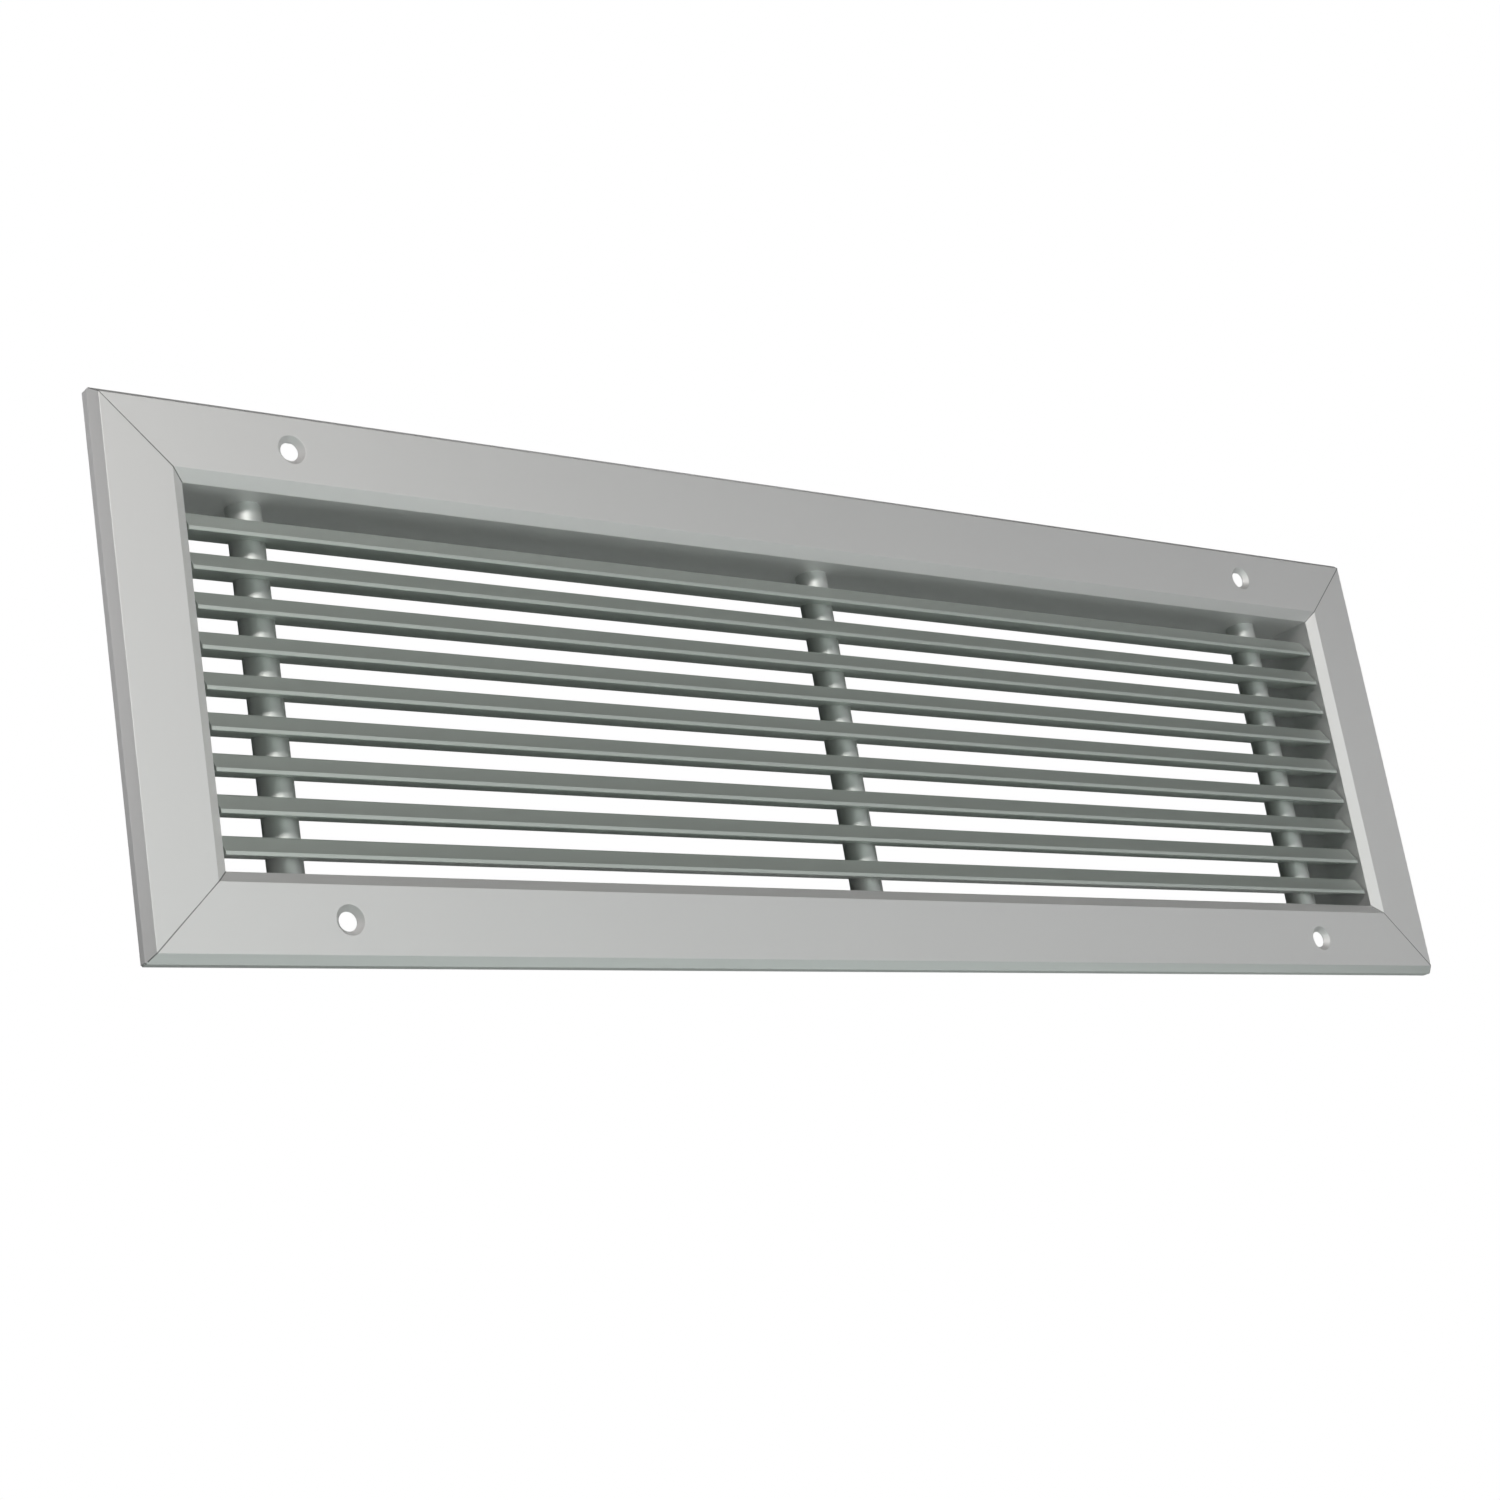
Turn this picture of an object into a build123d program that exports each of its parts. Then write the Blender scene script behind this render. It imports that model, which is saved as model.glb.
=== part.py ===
"""A linear bar ventilation grille: a mitred aluminium frame round nine fixed, inclined blades.

The origin is the centre of the neck on the wall plane, where the frame's rear lip meets the wall.
X runs along the blades, to the right as seen from the room, Y runs back into the wall and Z is up.
All sizes are in millimetres.
"""

from build123d import *

import os
from math import atan2, cos, degrees, radians, sin, tan

# Duct that the neck enters, and the play round the neck
duct_width = 500.0
side_clearance = 0.75
top_clearance = 1.25

# Frame
border = 27.25
flange_depth = 6.2
total_depth = 30.0
face_wall = 2.0
side_wall = 1.8
collar_wall = 1.5
inner_bevel_width = 3.8
inner_bevel_depth = 2.6
outer_bevel_width = 2.3
outer_bevel_depth = 3.2
bevel_backing = 0.6
edge_radius = 0.35

# Screw holes in the top and bottom members
screw_end_inset = 64.0
screw_hole_diameter = 6.0
countersink_diameter = 9.4

# Corner keys and the channel that holds them behind the face
key_width = 10.0
key_thickness = 1.5
key_leg = 36.0
key_end_chamfer = 1.0
key_clearance = 0.1
hook_stem = 1.0
hook_thickness = 1.0
hook_reach = 0.9

# Blades
blade_count = 9
blade_pitch = 12.5
blade_angle = 15.0
blade_depth = 17.8
blade_end_gap = 1.0
nose_setback = 3.2
nose_drop = 4.6
nose_land = 1.3
nose_radius = 0.25
shoulder_setback = 4.0
shoulder_height = 7.45
shoulder_radius = 2.5
tail_thickness = 1.5
tail_radius = 0.6

# Square tie bars and the spacers threaded on them
bar_width = 4.0
bar_clearance = 0.1
bar_setback = 15.0
bar_end_inset = 26.0
spacer_diameter = 11.0

# Places worked out from the sizes above
duct_height = (blade_count + 1) * blade_pitch
half_width = duct_width / 2 - side_clearance - collar_wall
half_height = duct_height / 2 - top_clearance - collar_wall
face_y = -flange_depth
face_back_y = face_y + face_wall
collar_rear_y = face_y + total_depth
outer_side = border - side_wall
flat_middle = (inner_bevel_width + border - outer_bevel_width) / 2
screw_spacing = 2 * (half_width + border - screw_end_inset)
nose_y = face_y + nose_setback
bar_y = face_y + bar_setback
bar_hole_width = bar_width + 2 * bar_clearance
blade_length = 2 * (half_width - blade_end_gap)
tail_underside = blade_depth * tan(radians(blade_angle))
tail_top = tail_underside + tail_thickness
topside_fall = degrees(atan2(shoulder_height - tail_top, blade_depth - shoulder_setback))
middle_blade = (blade_count + 1) / 2
nose_heights = [(middle_blade - number) * blade_pitch - nose_drop for number in range(1, blade_count + 1)]
bar_places = {
    "left": -half_width + bar_end_inset,
    "middle": 0.0,
    "right": half_width - bar_end_inset,
}

os.makedirs("parts", exist_ok=True)


def save(piece: Part, name: str) -> None:
    """Label a finished piece and write it as its own STEP file."""
    piece.label = name
    export_step(piece, f"parts/{name}.step")


# Frame members, cut from one extruded section


def frame_section() -> Sketch:
    """Section of every member: local X runs out from the opening, local Y back from the wall plane."""
    channel_half = key_width / 2 + key_clearance
    hook_y = face_back_y + key_thickness + key_clearance
    with BuildSketch() as section:
        with BuildLine():
            Polyline(
                (0, collar_rear_y),
                (0, face_y + inner_bevel_depth),
                (inner_bevel_width, face_y),
                (border - outer_bevel_width, face_y),
                (border, face_y + outer_bevel_depth),
                (border, 0),
                (outer_side, 0),
                (outer_side, face_back_y + bevel_backing * outer_bevel_depth),
                (outer_side - bevel_backing * outer_bevel_width, face_back_y),
                (collar_wall + bevel_backing * inner_bevel_width, face_back_y),
                (collar_wall, face_back_y + bevel_backing * inner_bevel_depth),
                (collar_wall, collar_rear_y),
                close=True,
            )
        make_face()
        fillet(section.vertices().filter_by(is_front_edge), edge_radius)
        for side in (-1, 1):
            stem_middle = flat_middle + side * (channel_half + hook_stem / 2)
            hook_middle = flat_middle + side * (channel_half - hook_reach / 2 + hook_stem / 2)
            with Locations((stem_middle, face_back_y)):
                Rectangle(hook_stem, hook_y - face_back_y, align=(Align.CENTER, Align.MIN))
            with Locations((hook_middle, hook_y)):
                Rectangle(hook_reach + hook_stem, hook_thickness, align=(Align.CENTER, Align.MIN))
    return section.sketch


def is_front_edge(corner: Vertex) -> bool:
    """True at both edges of the face and where a bevel runs into the collar or the side wall."""
    beside_bevel = corner.X < collar_wall / 2 or corner.X > border - side_wall / 2
    return corner.Y < face_back_y or (beside_bevel and corner.Y < 0)


def bar_hole_pattern() -> Sketch:
    """Square holes for the tie bars, one in each column, seen from above."""
    with BuildSketch() as pattern:
        with Locations([(x, bar_y) for x in bar_places.values()]):
            Rectangle(bar_hole_width, bar_hole_width)
    return pattern.sketch


def member_plane(outward: Vector, reach: float) -> Plane:
    """Plane across one member, its local X outward and its local Y back into the wall."""
    return Plane(origin=outward * reach, x_dir=outward, z_dir=outward.cross(Vector(0, 1, 0)))


def mitre_plane(plane: Plane, outward: Vector, half_length: float, end: int) -> Plane:
    """Plane of the joint at one end of a member, through the frame's inner corner."""
    along = plane.z_dir * end
    return Plane(origin=plane.origin + along * half_length, z_dir=along - outward)


members = {
    "top": (Vector(0, 0, 1), half_height, half_width),
    "bottom": (Vector(0, 0, -1), half_height, half_width),
    "left": (Vector(-1, 0, 0), half_width, half_height),
    "right": (Vector(1, 0, 0), half_width, half_height),
}
section_profile = frame_section()
bar_holes = bar_hole_pattern()

for name, (outward, reach, half_length) in members.items():
    plane = member_plane(outward, reach)
    with BuildPart() as member:
        with BuildSketch(plane):
            add(section_profile)
        extrude(amount=half_length + border, both=True)
        for end in (-1, 1):
            split(bisect_by=mitre_plane(plane, outward, half_length, end), keep=Keep.BOTTOM)
        if name in ("top", "bottom"):
            screw_height = outward.Z * (half_height + flat_middle)
            with Locations(Plane(origin=(0, face_y, screw_height), x_dir=(1, 0, 0), z_dir=(0, -1, 0))):
                with GridLocations(screw_spacing, 0, 2, 1):
                    CounterSinkHole(screw_hole_diameter / 2, countersink_diameter / 2, depth=flange_depth)
            with BuildSketch(Plane.XY.offset(outward.Z * half_height)):
                add(bar_holes)
            extrude(amount=outward.Z * collar_wall, mode=Mode.SUBTRACT)
    save(member.part, f"frame_{name}")

# Corner keys, L-shaped plates held in the channel behind the face

key_middle_x = half_width + flat_middle
key_middle_z = half_height + flat_middle

for across, side_x in (("left", -1), ("right", 1)):
    for up, side_z in (("top", 1), ("bottom", -1)):
        with BuildPart() as key:
            with BuildSketch(Plane(origin=(0, face_back_y, 0), x_dir=(1, 0, 0), z_dir=(0, -1, 0))) as outline:
                corner_x = side_x * (key_middle_x + key_width / 2)
                corner_z = side_z * (key_middle_z + key_width / 2)
                with BuildLine():
                    Polyline(
                        (corner_x, corner_z),
                        (corner_x - side_x * key_leg, corner_z),
                        (corner_x - side_x * key_leg, corner_z - side_z * key_width),
                        (corner_x - side_x * key_width, corner_z - side_z * key_width),
                        (corner_x - side_x * key_width, corner_z - side_z * key_leg),
                        (corner_x, corner_z - side_z * key_leg),
                        close=True,
                    )
                make_face()
                end_x = corner_x - side_x * key_leg
                end_z = corner_z - side_z * key_leg
                chamfer(outline.vertices().filter_by_position(Axis.X, end_x, end_x), key_end_chamfer)
                chamfer(outline.vertices().filter_by_position(Axis.Y, end_z, end_z), key_end_chamfer)
            extrude(amount=-key_thickness)
        save(key.part, f"corner_key_{up}_{across}")

# Blades, one inclined drop-shaped section with a narrow upright nose


def blade_section() -> Sketch:
    """Section of every blade from its nose's lower edge: local X runs back, local Y up."""
    with BuildSketch() as section:
        with BuildLine():
            Polyline(
                (0, 0),
                (0, nose_land),
                (shoulder_setback, shoulder_height),
                (blade_depth, tail_top),
                (blade_depth, tail_underside),
                close=True,
            )
        make_face()
        corners = section.vertices()
        fillet(corners.sort_by(Axis.Y)[-1], shoulder_radius)
        fillet(corners.filter_by_position(Axis.X, 0, 0), nose_radius)
        fillet(corners.filter_by_position(Axis.X, blade_depth, blade_depth), tail_radius)
    return section.sketch


blade_profile = blade_section()

for number, height in enumerate(nose_heights, start=1):
    with BuildPart() as blade:
        with BuildSketch(Plane(origin=(0, nose_y, height), x_dir=(0, 1, 0), z_dir=(1, 0, 0))):
            add(blade_profile)
        extrude(amount=blade_length / 2, both=True)
        with BuildSketch(Plane.XY.offset(height)):
            add(bar_holes)
        extrude(amount=shoulder_height, mode=Mode.SUBTRACT)
    save(blade.part, f"blade_{number}")

# Spacers, one between each two neighbours in each column, their ends cut to the faces they seat on

for place, bar_x in bar_places.items():
    for gap in range(1, blade_count + 2):
        with BuildPart() as spacer:
            with BuildSketch(Plane.XY):
                with Locations((bar_x, bar_y)):
                    Circle(spacer_diameter / 2)
                    Rectangle(bar_hole_width, bar_hole_width, mode=Mode.SUBTRACT)
            extrude(amount=half_height, both=True)
            if gap > 1:
                blade_above = Vector(0, nose_y, nose_heights[gap - 2])
                underside_normal = (0, -sin(radians(blade_angle)), cos(radians(blade_angle)))
                split(bisect_by=Plane(origin=blade_above, z_dir=underside_normal), keep=Keep.BOTTOM)
            if gap <= blade_count:
                shoulder_below = Vector(0, nose_y + shoulder_setback, nose_heights[gap - 1] + shoulder_height)
                topside_normal = (0, sin(radians(topside_fall)), cos(radians(topside_fall)))
                split(bisect_by=Plane(origin=shoulder_below, z_dir=topside_normal), keep=Keep.TOP)
        save(spacer.part, f"spacer_{place}_{gap}")

# Tie bars, through every spacer and blade and flush with the outside of the neck

for place, bar_x in bar_places.items():
    with BuildPart() as bar:
        with BuildSketch(Plane.XY):
            with Locations((bar_x, bar_y)):
                Rectangle(bar_width, bar_width)
        extrude(amount=half_height + collar_wall, both=True)
    save(bar.part, f"tie_bar_{place}")
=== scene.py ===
"""Looks of a linear bar ventilation grille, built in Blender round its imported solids.

Every length is in metres, in the frame of the solids: X runs along the blades, Y runs back into
the wall and Z is up. Each sub-assembly is a class that builds its meshes and dresses them.
"""

import logging
from dataclasses import dataclass, replace
from enum import Enum
from math import cos, pi, radians, sin, tan
from typing import Iterable, Sequence

import bmesh
import bpy
from mathutils import Matrix, Vector


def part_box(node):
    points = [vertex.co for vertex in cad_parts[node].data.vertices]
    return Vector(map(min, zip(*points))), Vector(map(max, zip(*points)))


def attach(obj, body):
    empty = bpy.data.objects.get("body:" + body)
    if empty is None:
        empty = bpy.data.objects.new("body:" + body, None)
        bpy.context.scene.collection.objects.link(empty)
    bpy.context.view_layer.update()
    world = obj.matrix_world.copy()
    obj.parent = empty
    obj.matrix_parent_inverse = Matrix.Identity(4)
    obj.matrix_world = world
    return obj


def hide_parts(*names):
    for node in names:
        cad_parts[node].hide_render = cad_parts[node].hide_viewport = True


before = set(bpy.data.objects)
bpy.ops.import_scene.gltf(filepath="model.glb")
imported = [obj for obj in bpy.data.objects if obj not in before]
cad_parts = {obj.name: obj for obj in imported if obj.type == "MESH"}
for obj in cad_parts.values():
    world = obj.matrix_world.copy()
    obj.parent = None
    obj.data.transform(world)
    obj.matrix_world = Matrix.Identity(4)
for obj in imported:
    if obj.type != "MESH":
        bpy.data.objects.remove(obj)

log = logging.getLogger("grille")

MM = 0.001
SHARP_ANGLE = radians(32.0)
FLAT_FACE_WEIGHT = 100
CUT_MARGIN = 1.0 * MM
BLADE_PUNCH_PITCHES = 2.0
SPACER_PUNCH_PITCHES = 20.0
MIDDLE = 0.5
WHITE = (1.0, 1.0, 1.0, 1.0)

COLUMNS = ("left", "middle", "right")

Point = tuple[float, float]


class Grain(Enum):
    """Direction in which a piece was drawn, as the scale of its streaks along X, Y and Z."""

    ALONG_X = (0.012, 1.0, 1.0)
    ALONG_Z = (1.0, 1.0, 0.012)
    NONE = (1.0, 1.0, 1.0)


@dataclass(frozen=True)
class Finish:
    """A metal surface: its colour, its gloss and the streaks that drawing or cutting left in it."""

    name: str
    colour: tuple[float, float, float]
    roughness: float
    grain: Grain
    metallic: float = 1.0
    tone_spread: float = 0.012
    roughness_spread: float = 0.03
    streaks_per_metre: float = 2600.0
    clouds_per_metre: float = 14.0
    pits_per_metre: float = 5200.0
    streak_height: float = 0.0012 * MM
    pit_height: float = 0.0015 * MM
    streak_detail: float = 3.0
    cloud_detail: float = 2.0
    pit_detail: float = 1.0
    cloud_share: float = 0.6
    streak_share: float = 0.4

    def material(self) -> bpy.types.Material:
        """Build the node material of this finish.

        Returns:
            The material, with colour, roughness and bump from procedural noise.
        """
        made = bpy.data.materials.new(self.name)
        made.use_nodes = True
        tree = made.node_tree
        shader = tree.nodes["Principled BSDF"]
        shader.inputs["Metallic"].default_value = self.metallic
        place = tree.nodes.new("ShaderNodeTexCoord")

        streaks = self._noise(tree, place, self.grain.value, self.streaks_per_metre, self.streak_detail)
        clouds = self._noise(tree, place, Grain.NONE.value, self.clouds_per_metre, self.cloud_detail)
        pits = self._noise(tree, place, Grain.NONE.value, self.pits_per_metre, self.pit_detail)

        tone = tree.nodes.new("ShaderNodeMix")
        tone.data_type = "RGBA"
        dark = tuple(c * (1.0 - self.tone_spread) for c in self.colour)
        light = tuple(min(1.0, c * (1.0 + self.tone_spread)) for c in self.colour)
        tone.inputs["A"].default_value = (*dark, 1.0)
        tone.inputs["B"].default_value = (*light, 1.0)
        fine = self._math(tree, "MULTIPLY", streaks, self.streak_share)
        mixed = self._math(tree, "MULTIPLY_ADD", clouds, self.cloud_share, fine)
        tree.links.new(mixed, tone.inputs["Factor"])
        tree.links.new(self._mark(tree, place, tone.outputs["Result"]), shader.inputs["Base Color"])

        gloss = tree.nodes.new("ShaderNodeMapRange")
        gloss.inputs["To Min"].default_value = self.roughness - self.roughness_spread
        gloss.inputs["To Max"].default_value = self.roughness + self.roughness_spread
        tree.links.new(streaks, gloss.inputs["Value"])
        tree.links.new(gloss.outputs["Result"], shader.inputs["Roughness"])

        lines = self._bump(tree, streaks, self.streak_height, None)
        grainy = self._bump(tree, pits, self.pit_height, lines)
        tree.links.new(grainy, shader.inputs["Normal"])
        return made

    def _mark(
        self,
        tree: bpy.types.NodeTree,
        place: bpy.types.Node,
        colour: bpy.types.NodeSocket,
    ) -> bpy.types.NodeSocket:
        """Mark the colour where a kind of finish has marks; a plain one has none."""
        return colour

    def _math(self, tree: bpy.types.NodeTree, operation: str, *values: object) -> bpy.types.NodeSocket:
        """Work out one number from others.

        Args:
            tree: The material's node tree.
            operation: What is worked out.
            *values: A socket to link or a number to set, for each input in order.

        Returns:
            The result's socket.
        """
        node = tree.nodes.new("ShaderNodeMath")
        node.operation = operation
        for number, value in enumerate(values):
            if isinstance(value, bpy.types.NodeSocket):
                tree.links.new(value, node.inputs[number])
            else:
                node.inputs[number].default_value = value
        return node.outputs[0]

    def _noise(
        self,
        tree: bpy.types.NodeTree,
        place: bpy.types.Node,
        stretch: tuple[float, float, float],
        per_metre: float,
        detail: float,
    ) -> bpy.types.NodeSocket:
        """Add a noise texture on object coordinates.

        Args:
            tree: The material's node tree.
            place: The texture coordinate node.
            stretch: Scale of the noise along each axis.
            per_metre: Number of features in a metre.
            detail: Octaves of finer noise.

        Returns:
            The noise value's socket.
        """
        mapping = tree.nodes.new("ShaderNodeMapping")
        mapping.inputs["Scale"].default_value = stretch
        tree.links.new(place.outputs["Object"], mapping.inputs["Vector"])
        noise = tree.nodes.new("ShaderNodeTexNoise")
        noise.inputs["Scale"].default_value = per_metre
        noise.inputs["Detail"].default_value = detail
        tree.links.new(mapping.outputs["Vector"], noise.inputs["Vector"])
        return noise.outputs["Fac"]

    def _bump(
        self,
        tree: bpy.types.NodeTree,
        height: bpy.types.NodeSocket,
        distance: float,
        below: bpy.types.NodeSocket | None,
    ) -> bpy.types.NodeSocket:
        """Add a bump node over another one.

        Args:
            tree: The material's node tree.
            height: Socket that gives the height from 0 to 1.
            distance: Height in metres that 1 stands for.
            below: Normal that this bump is added to, if any.

        Returns:
            The bumped normal's socket.
        """
        bump = tree.nodes.new("ShaderNodeBump")
        bump.inputs["Strength"].default_value = 1.0
        bump.inputs["Distance"].default_value = distance
        tree.links.new(height, bump.inputs["Height"])
        if below is not None:
            tree.links.new(below, bump.inputs["Normal"])
        return bump.outputs["Normal"]


@dataclass(frozen=True)
class FlangeFinish(Finish):
    """Anodised flange with the fine dark line of its mitre joints."""

    mitre_offset: float = 0.0
    joint_rear: float = 0.0
    joint_width: float = 0.15 * MM
    joint_fade: float = 0.2 * MM
    joint_unevenness: float = 0.3 * MM
    uneven_per_metre: float = 35.0
    uneven_detail: float = 1.0
    joint_darkness: float = 0.6
    joint_colour: tuple[float, float, float] = (0.05, 0.05, 0.05)

    def _mark(
        self,
        tree: bpy.types.NodeTree,
        place: bpy.types.Node,
        colour: bpy.types.NodeSocket,
    ) -> bpy.types.NodeSocket:
        """Darken the colour along the mitre planes.

        Args:
            tree: The material's node tree.
            place: The texture coordinate node.
            colour: The colour that is marked.

        Returns:
            The marked colour's socket.
        """
        split = tree.nodes.new("ShaderNodeSeparateXYZ")
        tree.links.new(place.outputs["Object"], split.inputs["Vector"])
        across = self._math(tree, "ABSOLUTE", split.outputs["X"])
        up = self._math(tree, "ABSOLUTE", split.outputs["Z"])
        past_corner = self._math(tree, "SUBTRACT", across, up)
        off_mitre = self._math(
            tree, "ABSOLUTE", self._math(tree, "SUBTRACT", past_corner, self.mitre_offset)
        )
        uneven = self._noise(tree, place, Grain.NONE.value, self.uneven_per_metre, self.uneven_detail)
        either_way = self._math(tree, "SUBTRACT", uneven, MIDDLE)
        gap = self._math(tree, "MULTIPLY", either_way, self.joint_unevenness)
        off_joint = self._math(tree, "SUBTRACT", off_mitre, gap)
        line = tree.nodes.new("ShaderNodeMapRange")
        line.inputs["From Min"].default_value = self.joint_width
        line.inputs["From Max"].default_value = self.joint_width + self.joint_fade
        line.inputs["To Min"].default_value = self.joint_darkness
        line.inputs["To Max"].default_value = 0.0
        tree.links.new(off_joint, line.inputs["Value"])
        in_front = self._math(tree, "LESS_THAN", split.outputs["Y"], self.joint_rear)
        strength = self._math(tree, "MULTIPLY", line.outputs["Result"], in_front)
        marked = tree.nodes.new("ShaderNodeMix")
        marked.data_type = "RGBA"
        tree.links.new(strength, marked.inputs["Factor"])
        tree.links.new(colour, marked.inputs["A"])
        marked.inputs["B"].default_value = (*self.joint_colour, 1.0)
        return marked.outputs["Result"]


FLANGE_ALONG_X = FlangeFinish("anodised_flange_along_x", (0.83, 0.817, 0.824), 0.66, Grain.ALONG_X)
FLANGE_ALONG_Z = FlangeFinish("anodised_flange_along_z", (0.83, 0.817, 0.824), 0.66, Grain.ALONG_Z)
BLADE_FINISH = Finish("anodised_blade", (0.65, 0.683, 0.66), 0.62, Grain.ALONG_X)
SPACER_FINISH = Finish("anodised_spacer", (0.68, 0.69, 0.68), 0.6, Grain.ALONG_Z)
BAR_FINISH = Finish("plated_bar", (0.62, 0.62, 0.61), 0.4, Grain.ALONG_Z, streak_height=0.008 * MM)
KEY_FINISH = Finish("mill_key", (0.66, 0.66, 0.66), 0.55, Grain.ALONG_X, tone_spread=0.06)


@dataclass(frozen=True)
class Corner:
    """One corner of an outline, with the radius that rounds it."""

    across: float
    up: float
    radius: float = 0.0


def rounded(corners: Sequence[Corner], steps: int) -> list[Point]:
    """Turn corners into the points of a closed outline.

    Args:
        corners: The corners in order.
        steps: Number of straight steps in each rounded corner.

    Returns:
        The points of the outline.
    """
    points: list[Point] = []
    for number, corner in enumerate(corners):
        here = Vector((corner.across, corner.up))
        if corner.radius == 0.0:
            points.append((here.x, here.y))
            continue
        before = corners[number - 1]
        after = corners[(number + 1) % len(corners)]
        back = (Vector((before.across, before.up)) - here).normalized()
        ahead = (Vector((after.across, after.up)) - here).normalized()
        half = back.angle(ahead) / 2
        centre = here + (back + ahead).normalized() * (corner.radius / sin(half))
        start = here + back * (corner.radius / tan(half)) - centre
        end = here + ahead * (corner.radius / tan(half)) - centre
        turn = start.angle(end)
        for step in range(steps + 1):
            part = step / steps
            spoke = (start * sin((1 - part) * turn) + end * sin(part * turn)) / sin(turn)
            points.append((centre.x + spoke.x, centre.y + spoke.y))
    return points


def loft(name: str, rings: Sequence[Sequence[Vector]]) -> bpy.types.Object:
    """Join rings of points into one closed shell.

    Args:
        name: Name of the new object.
        rings: Rings of equal length, from one end to the other.

    Returns:
        The object, linked to the scene, its faces outward.
    """
    shell = bmesh.new()
    loops = [[shell.verts.new(point) for point in ring] for ring in rings]
    for first, second in zip(loops, loops[1:]):
        for number, corner in enumerate(first):
            following = (number + 1) % len(first)
            shell.faces.new((corner, first[following], second[following], second[number]))
    shell.faces.new(loops[0])
    shell.faces.new(reversed(loops[-1]))
    bmesh.ops.recalc_face_normals(shell, faces=shell.faces)
    mesh = bpy.data.meshes.new(name)
    shell.to_mesh(mesh)
    shell.free()
    made = bpy.data.objects.new(name, mesh)
    bpy.context.scene.collection.objects.link(made)
    return made


def lathe(name: str, profile: Sequence[Point], centre: Vector, sides: int) -> bpy.types.Object:
    """Turn a profile round an axis along Y.

    Args:
        name: Name of the new object.
        profile: Radius and place along Y of each ring.
        centre: Where the axis stands in X and Z.
        sides: Number of sides.

    Returns:
        The closed, turned object.
    """
    turns = [2 * pi * side / sides for side in range(sides)]
    rings = [
        [Vector((centre.x + radius * cos(turn), along, centre.z + radius * sin(turn))) for turn in turns]
        for radius, along in profile
    ]
    return loft(name, rings)


def bake(piece: bpy.types.Object) -> bpy.types.Object:
    """Replace an object's mesh by its evaluated one and drop its modifiers.

    Args:
        piece: The object to bake.

    Returns:
        The same object with a plain mesh.
    """
    graph = bpy.context.evaluated_depsgraph_get()
    graph.update()
    plain = bpy.data.meshes.new_from_object(piece.evaluated_get(graph), depsgraph=graph)
    plain.name = piece.name
    piece.modifiers.clear()
    piece.data = plain
    return piece


def carve(piece: bpy.types.Object, cutters: Iterable[bpy.types.Object]) -> None:
    """Cut other shapes out of a piece and delete them.

    Args:
        piece: The object that is cut.
        cutters: The closed shapes to take away.
    """
    used = list(cutters)
    for cutter in used:
        cut = piece.modifiers.new(cutter.name, "BOOLEAN")
        cut.operation = "DIFFERENCE"
        cut.solver = "EXACT"
        cut.object = cutter
    bake(piece)
    for cutter in used:
        bpy.data.objects.remove(cutter)


def soften(piece: bpy.types.Object, width: float, steps: int = 2) -> None:
    """Break the sharp edges of a piece and shade it.

    Args:
        piece: The object to finish.
        width: Width of the broken edge.
        steps: Number of faces across it.
    """
    edge = piece.modifiers.new("edges", "BEVEL")
    edge.limit_method = "ANGLE"
    edge.angle_limit = SHARP_ANGLE
    edge.width = width
    edge.segments = steps
    edge.use_clamp_overlap = True
    bake(piece)
    shade(piece)


def shade(piece: bpy.types.Object) -> None:
    """Shade a piece smooth between its sharp edges, with its flat faces kept flat.

    Args:
        piece: The object to shade.
    """
    piece.data.shade_smooth()
    piece.data.set_sharp_from_angle(angle=SHARP_ANGLE)
    level = piece.modifiers.new("flat_faces", "WEIGHTED_NORMAL")
    level.keep_sharp = True
    level.weight = FLAT_FACE_WEIGHT
    bake(piece)


def dress(piece: bpy.types.Object, material: bpy.types.Material) -> None:
    """Give a piece one material all over."""
    piece.data.materials.clear()
    piece.data.materials.append(material)


def hand_over(piece: bpy.types.Object, nodes: Sequence[str]) -> None:
    """Attach a finished piece to the root body and hide the solids that it stands for.

    Args:
        piece: The finished piece.
        nodes: Names of the solids that it replaces.
    """
    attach(piece, "root")
    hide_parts(*nodes)
    log.info("%s: %d faces, replaces %d solids", piece.name, len(piece.data.polygons), len(nodes))


@dataclass(frozen=True)
class TreeInput:
    """A named input of a geometry node tree, and the value that a piece gives it."""

    name: str
    kind: str
    value: object


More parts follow.
